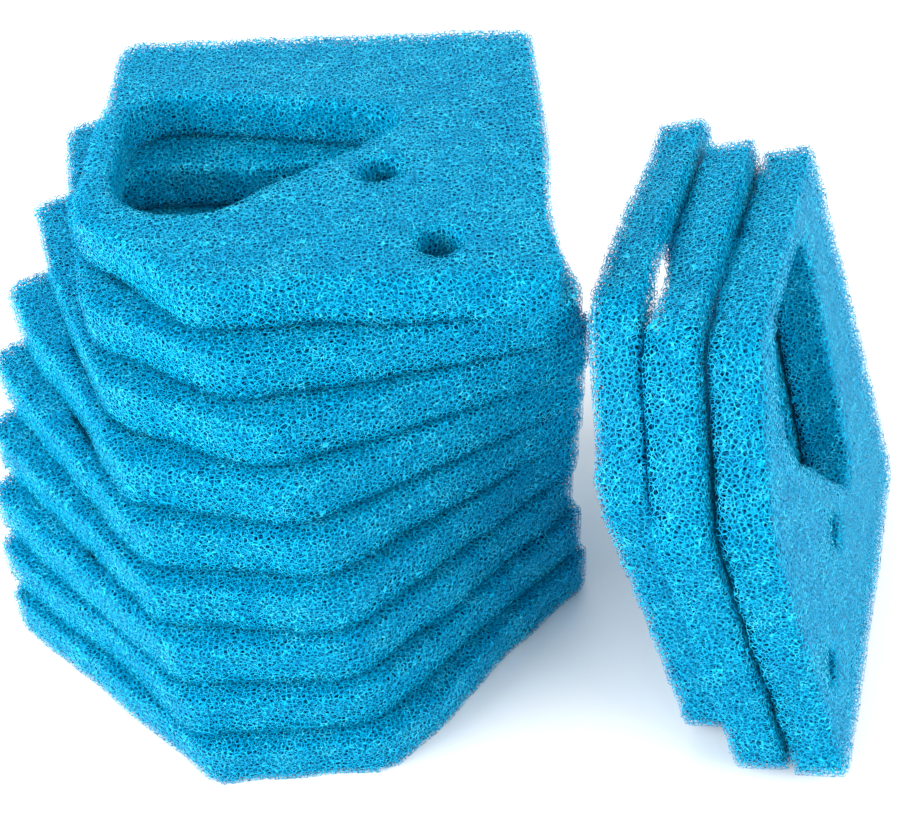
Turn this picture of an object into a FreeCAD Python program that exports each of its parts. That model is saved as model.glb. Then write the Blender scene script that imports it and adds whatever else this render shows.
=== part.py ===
"""A set of twelve loose filter-foam pads: nine laid in a fanned stack and three leaning on it."""

import FreeCAD, Part
import math
import os
import Sketcher

V = FreeCAD.Vector

# ---------------------------------------------------------------- driving dimensions (mm, degrees)
DIMENSIONS = [
    ("pad_width", 200.0),  # both sides of the square pad
    ("pad_thickness", 23.0),
    ("layer_gap", 0.3),  # air left between two pads that lie on each other
    ("cut_corner_leg", 54.0),  # the one corner cut off at 45 degrees
    ("corner_radius", 12.0),  # the three square corners
    ("cut_corner_radius", 26.0),  # where the cut corner meets the pad's sides
    # the big opening is a belt round three circles: centre x, centre y, radius
    ("belt_one_x", -52.0), ("belt_one_y", -13.0), ("belt_one_radius", 34.0),
    ("belt_two_x", -66.0), ("belt_two_y", 26.0), ("belt_two_radius", 20.0),
    ("belt_three_x", 21.0), ("belt_three_y", 18.0), ("belt_three_radius", 11.0),
    # the two small round holes
    ("tube_hole_radius", 8.0),
    ("inner_hole_x", 28.5), ("inner_hole_y", -20.5),
    ("outer_hole_x", 53.0), ("outer_hole_y", -75.0),
    # the leaning pads
    ("lean_angle", 19.0),  # from upright, towards the stack
    ("lean_turn", 68.8),  # direction of their lower edge in plan
    ("lean_foot_x", 210.0), ("lean_foot_y", -124.2),  # near end of the outermost lower edge
    ("slip_middle", -3.2), ("slip_inner", 11.5),  # how far each has slipped along its lower edge
]

# how each stacked pad is turned about the vertical and where its centre lies, bottom to top
STACK_LAYOUT = [
    (44.7, 0.0, 0.0),
    (44.0, -2.8, 8.0),
    (41.9, -3.8, 16.2),
    (38.4, -2.8, 25.0),
    (33.4, -0.2, 34.0),
    (26.9, 4.4, 43.4),
    (19.1, 10.6, 53.2),
    (9.8, 15.8, 63.4),
    (-3.0, 24.0, 74.0),
]
LEANING_NAMES = ["leaning_pad_outer", "leaning_pad_middle", "leaning_pad_inner"]

doc = FreeCAD.newDocument("filter_foam_pads")
sheet = doc.addObject("Spreadsheet::Sheet", "dims")
for row, (name, value) in enumerate(DIMENSIONS, start=1):
    sheet.set("A%d" % row, name)
    sheet.set("B%d" % row, str(value))
    sheet.setAlias("B%d" % row, name)
doc.recompute()


def dim(name):
    return float(sheet.get(name))


def origin_plane(body, role):
    return next(f for f in body.Origin.OriginFeatures if f.Role == role)


def new_sketch(body, name):
    sketch = body.newObject("Sketcher::SketchObject", name)
    sketch.AttachmentSupport = [(origin_plane(body, "XY_Plane"), "")]
    sketch.MapMode = "FlatFace"
    return sketch


def drive(sketch, constraint, expression):
    """Adds a dimensional constraint and binds its value to the sheet."""
    index = sketch.addConstraint(constraint)
    sketch.setExpression("Constraints[%d]" % index, expression)
    return index


def draw_outline(sketch):
    """The square pad with its one cut corner, as five lines."""
    half, leg = dim("pad_width") / 2, dim("cut_corner_leg")
    corners = [(-half, half), (half, half), (half, -half), (leg - half, -half), (-half, leg - half)]
    lines = []
    for start, end in zip(corners, corners[1:] + corners[:1]):
        lines.append(sketch.addGeometry(Part.LineSegment(V(*start, 0), V(*end, 0)), False))
    top, right, bottom, cut, left = lines
    for first, second in zip(lines, lines[1:] + lines[:1]):
        sketch.addConstraint(Sketcher.Constraint("Coincident", first, 2, second, 1))
    sketch.addConstraint(Sketcher.Constraint("Horizontal", top))
    sketch.addConstraint(Sketcher.Constraint("Horizontal", bottom))
    sketch.addConstraint(Sketcher.Constraint("Vertical", right))
    sketch.addConstraint(Sketcher.Constraint("Vertical", left))
    drive(sketch, Sketcher.Constraint("DistanceX", -1, 1, top, 2, half), "dims.pad_width / 2")
    drive(sketch, Sketcher.Constraint("DistanceY", -1, 1, top, 2, half), "dims.pad_width / 2")
    drive(sketch, Sketcher.Constraint("DistanceX", top, 1, -1, 1, half), "dims.pad_width / 2")
    drive(sketch, Sketcher.Constraint("DistanceY", right, 2, -1, 1, half), "dims.pad_width / 2")
    drive(sketch, Sketcher.Constraint("DistanceX", left, 1, bottom, 2, leg), "dims.cut_corner_leg")
    drive(sketch, Sketcher.Constraint("DistanceY", bottom, 2, left, 1, leg), "dims.cut_corner_leg")


def belt_points(first, second):
    """Where the outer tangent of two circles touches them, with both circles on its left."""
    (x1, y1, r1), (x2, y2, r2) = first, second
    length = math.hypot(x2 - x1, y2 - y1)
    turn = math.atan2(y2 - y1, x2 - x1) - math.acos((r1 - r2) / length)
    out = V(math.cos(turn), math.sin(turn), 0)
    return V(x1, y1, 0) + out * r1, V(x2, y2, 0) + out * r2


def draw_belt(sketch):
    """The big opening: three arcs joined by three tangent lines."""
    names = ["belt_two", "belt_one", "belt_three"]  # counter-clockwise
    circles = [tuple(dim("%s_%s" % (n, part)) for part in ("x", "y", "radius")) for n in names]
    tangents = [belt_points(circles[i], circles[(i + 1) % 3]) for i in range(3)]
    arcs, lines = [], []
    for i, (x, y, radius) in enumerate(circles):
        start, end = tangents[i - 1][1] - V(x, y, 0), tangents[i][0] - V(x, y, 0)
        circle = Part.Circle(V(x, y, 0), V(0, 0, 1), radius)
        arc = Part.ArcOfCircle(circle, math.atan2(start.y, start.x), math.atan2(end.y, end.x))
        arcs.append(sketch.addGeometry(arc, False))
        lines.append(sketch.addGeometry(Part.LineSegment(*tangents[i]), False))
    for i in range(3):
        sketch.addConstraint(Sketcher.Constraint("Tangent", arcs[i], 2, lines[i], 1))
        sketch.addConstraint(Sketcher.Constraint("Tangent", lines[i], 2, arcs[(i + 1) % 3], 1))
    for name, arc, (x, y, radius) in zip(names, arcs, circles):
        drive(sketch, Sketcher.Constraint("Radius", arc, radius), "dims.%s_radius" % name)
        drive(sketch, Sketcher.Constraint("DistanceX", -1, 1, arc, 3, x), "dims.%s_x" % name)
        drive(sketch, Sketcher.Constraint("DistanceY", -1, 1, arc, 3, y), "dims.%s_y" % name)


def draw_holes(sketch):
    """The two small round holes."""
    radius = dim("tube_hole_radius")
    for name in ("inner_hole", "outer_hole"):
        x, y = dim(name + "_x"), dim(name + "_y")
        hole = sketch.addGeometry(Part.Circle(V(x, y, 0), V(0, 0, 1), radius), False)
        drive(sketch, Sketcher.Constraint("Radius", hole, radius), "dims.tube_hole_radius")
        drive(sketch, Sketcher.Constraint("DistanceX", -1, 1, hole, 3, x), "dims.%s_x" % name)
        drive(sketch, Sketcher.Constraint("DistanceY", -1, 1, hole, 3, y), "dims.%s_y" % name)


def make_pad(label):
    """One die-cut pad lying on its body's XY plane, its cut corner towards -X and -Y."""
    body = doc.addObject("PartDesign::Body", label)
    body.Label = label
    outline = new_sketch(body, label + "_outline")
    draw_outline(outline)
    slab = body.newObject("PartDesign::Pad", label + "_slab")
    slab.Profile = outline
    slab.setExpression("Length", "dims.pad_thickness")
    doc.recompute()
    rounding = slab
    for word in ("corner", "cut_corner"):
        upright = []
        for n, edge in enumerate(rounding.Shape.Edges, start=1):
            first, last = edge.Vertexes[0].Point, edge.Vertexes[-1].Point
            at_cut = first.x + first.y < -dim("pad_width") / 2
            if abs(first.z - last.z) > 1 and at_cut == (word == "cut_corner"):
                upright.append("Edge%d" % n)
        fillet = body.newObject("PartDesign::Fillet", "%s_%s_fillet" % (label, word))
        fillet.Base = (rounding, upright)
        fillet.setExpression("Radius", "dims.%s_radius" % word)
        rounding = fillet
        doc.recompute()
    for draw, word in ((draw_belt, "opening"), (draw_holes, "tube_holes")):
        sketch = new_sketch(body, "%s_%s_sketch" % (label, word))
        draw(sketch)
        cut = body.newObject("PartDesign::Pocket", "%s_%s" % (label, word))
        cut.Profile = sketch
        cut.Reversed = True  # upwards, into the slab
        cut.setExpression("Length", "dims.pad_thickness")
    doc.recompute()
    return body


def lean_frame():
    """Along the lower edge, level towards the stack, up the face and out of the face."""
    turn, lean = math.radians(dim("lean_turn")), math.radians(dim("lean_angle"))
    along = V(math.cos(turn), math.sin(turn), 0)
    towards = V(-math.sin(turn), math.cos(turn), 0)
    up = towards * math.sin(lean) + V(0, 0, 1) * math.cos(lean)
    return along, towards, up, along.cross(up)


pads = []
pitch = dim("pad_thickness") + dim("layer_gap")
for number, (turn, x, y) in enumerate(STACK_LAYOUT, start=1):
    body = make_pad("stack_pad_%d" % number)
    body.Placement = FreeCAD.Placement(V(x, y, 0), FreeCAD.Rotation(V(0, 0, 1), turn))
    body.setExpression(
        "Placement.Base.z", "%d * (dims.pad_thickness + dims.layer_gap)" % (number - 1))
    pads.append(body)

along, towards, up, out = lean_frame()
foot = V(dim("lean_foot_x"), dim("lean_foot_y"), 0)
step = pitch / math.cos(math.radians(dim("lean_angle")))
half_width = dim("pad_width") / 2
facing = FreeCAD.Rotation(FreeCAD.Matrix(
    -up.x, along.x, out.x, 0, -up.y, along.y, out.y, 0, -up.z, along.z, out.z, 0, 0, 0, 0, 1))
slips = [0.0, dim("slip_middle"), dim("slip_inner")]
for number, (label, slip) in enumerate(zip(LEANING_NAMES, slips)):
    body = make_pad(label)
    lower_corner = foot + towards * (number * step) + along * slip
    body.Placement = FreeCAD.Placement(lower_corner + (along + up) * half_width, facing)
    pads.append(body)
doc.recompute()

# the row's origin is the middle of the footprint, on the floor
box = FreeCAD.BoundBox()
for body in pads:
    box.add(body.Shape.BoundBox)
for body in pads:
    base = body.Placement.Base
    shift = V(-(box.XMin + box.XMax) / 2, -(box.YMin + box.YMax) / 2, 0)
    body.Placement = FreeCAD.Placement(base + shift, body.Placement.Rotation)
doc.recompute()

for item in doc.Objects:
    if {"Invalid", "Error"} & set(item.State):
        raise RuntimeError("%s did not compute: %s" % (item.Name, item.State))
os.makedirs("parts", exist_ok=True)
for body in pads:
    if body.Shape.isNull() or not body.Shape.isValid():
        raise RuntimeError("%s has no valid shape" % body.Label)
    body.Shape.exportStep("parts/%s.step" % body.Label)
    place = body.Placement
    print(body.Label, round(body.Shape.Volume), [round(c, 2) for c in place.Base],
          [round(c, 4) for c in place.Rotation.Q])
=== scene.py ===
"""A fanned stack of coarse blue filter-foam pads with three more leaning on it."""

import bpy
import math
import numpy as np
from mathutils import Matrix, Vector


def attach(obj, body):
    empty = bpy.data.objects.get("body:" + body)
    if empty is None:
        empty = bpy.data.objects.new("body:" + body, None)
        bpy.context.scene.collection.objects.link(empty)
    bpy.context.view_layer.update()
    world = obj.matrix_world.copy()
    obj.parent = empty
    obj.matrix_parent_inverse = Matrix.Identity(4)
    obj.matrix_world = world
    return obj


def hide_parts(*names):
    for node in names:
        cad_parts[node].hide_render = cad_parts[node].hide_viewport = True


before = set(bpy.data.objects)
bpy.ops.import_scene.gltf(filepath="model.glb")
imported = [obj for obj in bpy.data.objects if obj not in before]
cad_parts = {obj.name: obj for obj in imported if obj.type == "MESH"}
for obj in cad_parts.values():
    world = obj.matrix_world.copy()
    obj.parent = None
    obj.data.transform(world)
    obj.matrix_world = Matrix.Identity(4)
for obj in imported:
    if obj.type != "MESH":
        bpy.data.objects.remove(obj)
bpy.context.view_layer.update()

# ------------------------------------------------------------------ foam shape, in metres
MESH_STEP = 0.0028  # spacing of the foam surface's points
SHELL_DEPTHS = (0.0, 0.0011, 0.0024, 0.0039, 0.0058)  # cuts through the foam, outermost first
SKIN_WAVES = ((0.045, 0.00015), (0.019, 0.0001), (0.008, 0.00015))  # wavelength, height
WAVES_PER_SKIN_LENGTH = 5
OUTLINE_WAVES = ((0.13, 0.0015), (0.06, 0.0010), (0.03, 0.0006))  # the cutting is a little untrue
WAVES_PER_OUTLINE_LENGTH = 3
RIM_SOFTENING = 3  # smoothing rounds that turn the die-cut rims over

# ------------------------------------------------------------------ foam material
PORES_PER_METRE = 470.0
BLOTCHES_PER_METRE = 90.0
GRAINS_PER_METRE = 900.0
STRUT_BUMP_HEIGHT = 0.0004  # metres
STRUT_BUMP_STRENGTH = 0.4
STRUT_EDGE = (0.035, 0.075)  # a strut's edge starts and ends here, in pores from its middle
PORE_CLOSING = 0.07  # how much wider the struts are at the deepest cut, in pores
BLOTCH_WEIGHT = 0.4  # of the colour's unevenness, the rest is grain
# painted shade: the struts are darkened the deeper they lie, so the outermost are palest
DEPTH_PAINTED_SHADE = 0.14
GRAIN_RANGE = (0.3, 0.7)  # the values most of the grain noise lies between
STRUT_ROUGHNESS = (0.32, 0.56)
FOAM_SPECULAR = 0.05
STRUT_PALE = (0.002, 0.44, 0.72)  # colours are linear
STRUT_GLINT = (0.05, 0.62, 0.84)
STRUT_MAIN = (0.0, 0.22, 0.49)
# painted shade: the dark colour the struts are mixed towards with depth, fully on the innermost cut
STRUT_DEEP_PAINTED_SHADE = (0.0, 0.15, 0.35)
# painted shade: the dark colour in the pores of the closed innermost cut, for the shaded foam behind
PORE_PAINTED_SHADE = (0.0, 0.12, 0.27)
COLOUR_STEPS = ((0.24, STRUT_MAIN), (0.54, STRUT_PALE), (0.66, STRUT_GLINT))  # paleness, colour

# ------------------------------------------------------------------ studio
FLOOR_WHITE = (0.92, 0.925, 0.93)
FLOOR_SIZE = 60.0
PILE_MIDDLE = (0, 0, 0.1)
LIGHTS = {  # place, size, watts
    "key": ((-1.15, -0.45, 0.6), 0.8, 22),
    "back": ((0.1, 1.2, 1.0), 1.0, 4),
    "right": ((1.2, -0.6, 0.7), 1.2, 16),
}
CAMERA_PLACE = (-0.0223, -0.5066, 0.5477)
CAMERA_TURN = 1.85  # degrees, to the right of straight on
CAMERA_TILT_DOWN = 41.8
CAMERA_ROLL = -2.6
CAMERA_LENS = 59.9  # millimetres, on a sensor of this width:
CAMERA_SENSOR = 36.0


def feed(tree, socket, value):
    """Links a node's output to a socket, or sets the socket's own value."""
    if isinstance(value, bpy.types.NodeSocket):
        tree.links.new(value, socket)
    else:
        socket.default_value = value


def new_node(tree, kind, inputs, **settings):
    """A node with its settings made and its inputs fed, by name or by number."""
    node = tree.nodes.new(kind)
    for name, value in settings.items():
        setattr(node, name, value)
    for name, value in inputs.items():
        feed(tree, node.inputs[name], value)
    return node


def multiply_add(tree, value, factor, addend):
    node = new_node(tree, "ShaderNodeMath", {0: value, 1: factor, 2: addend}, operation="MULTIPLY_ADD")
    return node.outputs[0]


def mixed_colour(tree, share, first, second):
    inputs = {"Factor": share, "A": first, "B": second}
    node = new_node(tree, "ShaderNodeMix", inputs, data_type="RGBA")
    return node.outputs["Result"]


def noise(tree, place, scale, detail):
    inputs = {"Vector": place, "Scale": scale, "Detail": detail}
    return new_node(tree, "ShaderNodeTexNoise", inputs).outputs[0]


def ranged(tree, value, from_range, to_range):
    """The value mapped straight from one range to another, and held at its ends."""
    inputs = {"Value": value, "From Min": from_range[0], "From Max": from_range[1],
              "To Min": to_range[0], "To Max": to_range[1]}
    return new_node(tree, "ShaderNodeMapRange", inputs).outputs[0]


def strut_share(tree, place, depth):
    """1 on a strut and 0 in a pore. The pores close up with depth."""
    inputs = {"Vector": place, "Scale": PORES_PER_METRE}
    cells = new_node(tree, "ShaderNodeTexVoronoi", inputs, feature="DISTANCE_TO_EDGE")
    distance = multiply_add(tree, depth, -PORE_CLOSING, cells.outputs["Distance"])
    return ranged(tree, distance, STRUT_EDGE, (1.0, 0.0))


def strut_colour(tree, place, grain, depth):
    """Blue, paler in blotches, with painted glints where it is palest, and painted shade that darkens
    each strut the deeper it lies, so the struts nearest the air are palest.
    """
    blotches = noise(tree, place, BLOTCHES_PER_METRE, detail=3.0)
    paleness = multiply_add(tree, blotches, BLOTCH_WEIGHT, 0.0)
    paleness = multiply_add(tree, grain, 1.0 - BLOTCH_WEIGHT, paleness)
    # painted shade: darker the deeper the cut
    paleness = multiply_add(tree, depth, -DEPTH_PAINTED_SHADE, paleness)
    ramp = new_node(tree, "ShaderNodeValToRGB", {"Fac": paleness})
    steps = ramp.color_ramp.elements
    steps.remove(steps[1])
    steps[0].position = COLOUR_STEPS[0][0]
    for position, _ in COLOUR_STEPS[1:]:
        steps.new(position)
    for step, (_, colour) in zip(steps, COLOUR_STEPS):
        step.color = (*colour, 1)
    # painted shade: mixed towards the dark deep colour with depth
    return mixed_colour(tree, depth, ramp.outputs["Color"], (*STRUT_DEEP_PAINTED_SHADE, 1))


def strut_bump(tree, grain):
    inputs = {"Height": grain, "Strength": STRUT_BUMP_STRENGTH, "Distance": STRUT_BUMP_HEIGHT}
    return new_node(tree, "ShaderNodeBump", inputs).outputs[0]


def foam_material(name, solid):
    """Open-cell foam: a net of struts round pores, see-through in the pores unless solid, when the
    pores are filled with painted shade.
    """
    material = bpy.data.materials.new(name)
    material.use_nodes = True
    tree = material.node_tree
    tree.nodes.clear()
    place = tree.nodes.new("ShaderNodeTexCoord").outputs["Object"]
    depth = new_node(tree, "ShaderNodeAttribute", {}, attribute_name="foam_depth").outputs["Fac"]
    grain = noise(tree, place, GRAINS_PER_METRE, detail=1.0)
    strut = strut_share(tree, place, depth)
    colour = strut_colour(tree, place, grain, depth)
    if solid:
        # painted shade: the pores of the closed cut are painted dark
        colour = mixed_colour(tree, strut, (*PORE_PAINTED_SHADE, 1), colour)
    surface = new_node(tree, "ShaderNodeBsdfPrincipled", {
        "Base Color": colour, "Alpha": 1.0 if solid else strut,
        "Roughness": ranged(tree, grain, GRAIN_RANGE, STRUT_ROUGHNESS),
        "Normal": strut_bump(tree, grain), "IOR": 1.45, "Specular IOR Level": FOAM_SPECULAR})
    new_node(tree, "ShaderNodeOutputMaterial", {"Surface": surface.outputs[0]})
    return material


def evaluated_mesh(obj):
    graph = bpy.context.evaluated_depsgraph_get()
    return bpy.data.meshes.new_from_object(obj.evaluated_get(graph))


def softened_copy(node):
    """The CAD pad's surface as an even net of points with its rims turned over."""
    obj = bpy.data.objects.new("blank", node.data.copy())
    bpy.context.scene.collection.objects.link(obj)
    remesh = obj.modifiers.new("even", "REMESH")
    remesh.mode = "VOXEL"
    remesh.voxel_size = MESH_STEP
    smooth = obj.modifiers.new("soft", "SMOOTH")
    smooth.factor = 0.5
    smooth.iterations = RIM_SOFTENING
    bpy.context.view_layer.update()
    mesh = evaluated_mesh(obj)
    bpy.data.objects.remove(obj)
    return mesh


def slanted_wave(points, direction, length, rng):
    """A sine wave's value at each point, from a random start."""
    direction = direction / np.linalg.norm(direction)
    return np.sin(points @ direction * (2 * math.pi / length) + rng.uniform(0, 2 * math.pi))


def skin_waves(points, rng):
    """How far out each point lies: a sum of slanted waves, never above 0."""
    total = np.zeros(len(points))
    for length, height in SKIN_WAVES:
        for _ in range(WAVES_PER_SKIN_LENGTH):
            wave = slanted_wave(points, rng.normal(size=3), length, rng)
            total += (wave - 1) * height / WAVES_PER_SKIN_LENGTH
    return total


def outline_waves(points, across, rng):
    """Shifts in the pad's own plane, the same through its thickness."""
    shift = np.zeros_like(points)
    for length, height in OUTLINE_WAVES:
        for _ in range(WAVES_PER_OUTLINE_LENGTH):
            along, push = np.cross(across, rng.normal(size=(2, 3)))
            wave = slanted_wave(points, along, length, rng)
            shift += wave[:, None] * push / np.linalg.norm(push) * height / 2
    return shift


def pad_normal(node):
    """The direction a CAD pad is thinnest in: that of its largest faces."""
    largest = max(node.data.polygons, key=lambda face: face.area)
    return np.array(largest.normal)


def vectors(rows, name):
    """One vector property of all the rows of a mesh, one row each."""
    values = np.zeros(len(rows) * 3)
    rows.foreach_get(name, values)
    return values.reshape(-1, 3)


def foam_layers(node, seed):
    """The points of each cut through a pad's foam, outermost first, and the faces they share."""
    rng = np.random.default_rng(seed)
    mesh = softened_copy(node)
    points, normals = vectors(mesh.vertices, "co"), vectors(mesh.vertex_normals, "vector")
    points = points + normals * skin_waves(points, rng)[:, None]
    points = points + outline_waves(points, pad_normal(node), rng)
    faces = np.array([face.vertices[:] for face in mesh.polygons])
    return [points - normals * depth for depth in SHELL_DEPTHS], faces


def foam_pad(name, node, net, core, seed):
    """One pad: nested cuts through its foam, the innermost closed."""
    layers, faces = foam_layers(node, seed)
    count = len(layers[0])
    every_face = np.concatenate([faces + count * i for i in range(len(layers))])
    foam = bpy.data.meshes.new(name)
    foam.from_pydata(np.concatenate(layers).tolist(), [], every_face.tolist())
    share = np.repeat(np.array(SHELL_DEPTHS) / SHELL_DEPTHS[-1], count)
    foam.attributes.new("foam_depth", "FLOAT", "POINT").data.foreach_set("value", share)
    foam.materials.append(net)
    foam.materials.append(core)
    slots = np.zeros(len(every_face), int)
    slots[-len(faces):] = 1
    foam.polygons.foreach_set("material_index", slots)
    foam.polygons.foreach_set("use_smooth", np.ones(len(every_face), bool))
    foam.update()
    obj = bpy.data.objects.new(name, foam)
    bpy.context.scene.collection.objects.link(obj)
    return obj


def area_light(name, place, size, power):
    """A square white lamp that faces the middle of the pile."""
    data = bpy.data.lights.new(name, "AREA")
    data.size, data.energy = size, power
    obj = bpy.data.objects.new(name, data)
    obj.location = place
    obj.rotation_euler = (Vector(PILE_MIDDLE) - Vector(place)).to_track_quat("-Z", "Y").to_euler()
    bpy.context.scene.collection.objects.link(obj)


def white_surroundings():
    world = bpy.data.worlds.new("studio")
    world.use_nodes = True
    background = world.node_tree.nodes["Background"]
    background.inputs["Color"].default_value = (1, 1, 1, 1)
    background.inputs["Strength"].default_value = 1.0
    bpy.context.scene.world = world


def white_floor():
    bpy.ops.mesh.primitive_plane_add(size=FLOOR_SIZE, location=(0, 0, 0))
    floor = bpy.context.object
    floor.name = "floor"
    material = bpy.data.materials.new("floor_white")
    material.use_nodes = True
    surface = material.node_tree.nodes["Principled BSDF"]
    surface.inputs["Base Color"].default_value = (*FLOOR_WHITE, 1)
    surface.inputs["Roughness"].default_value = 0.8
    floor.data.materials.append(material)


def place_camera():
    data = bpy.data.cameras.new("camera")
    data.lens, data.sensor_width = CAMERA_LENS, CAMERA_SENSOR
    camera = bpy.data.objects.new("camera", data)
    turned, tilt, roll = (math.radians(a) for a in (CAMERA_TURN, CAMERA_TILT_DOWN, CAMERA_ROLL))
    level = Vector((math.sin(turned), math.cos(turned), 0))
    ahead = level * math.cos(tilt) - Vector((0, 0, 1)) * math.sin(tilt)
    right = level.cross(Vector((0, 0, 1)))
    above = right.cross(ahead)
    side = right * math.cos(roll) + above * math.sin(roll)
    top = above * math.cos(roll) - right * math.sin(roll)
    axes = Matrix((side, top, -ahead)).transposed()
    camera.matrix_world = Matrix.Translation(CAMERA_PLACE) @ axes.to_4x4()
    bpy.context.scene.collection.objects.link(camera)
    bpy.context.scene.camera = camera


net, core = foam_material("foam_net", False), foam_material("foam_core", True)
for seed, name in enumerate(sorted(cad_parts), start=1):
    pad = foam_pad("foam_" + name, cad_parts[name], net, core, seed)
    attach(pad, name)
    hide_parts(name)

white_floor()
white_surroundings()
for name, (place, size, power) in LIGHTS.items():
    area_light(name, place, size, power)
place_camera()
bpy.context.scene.view_settings.view_transform = "Standard"
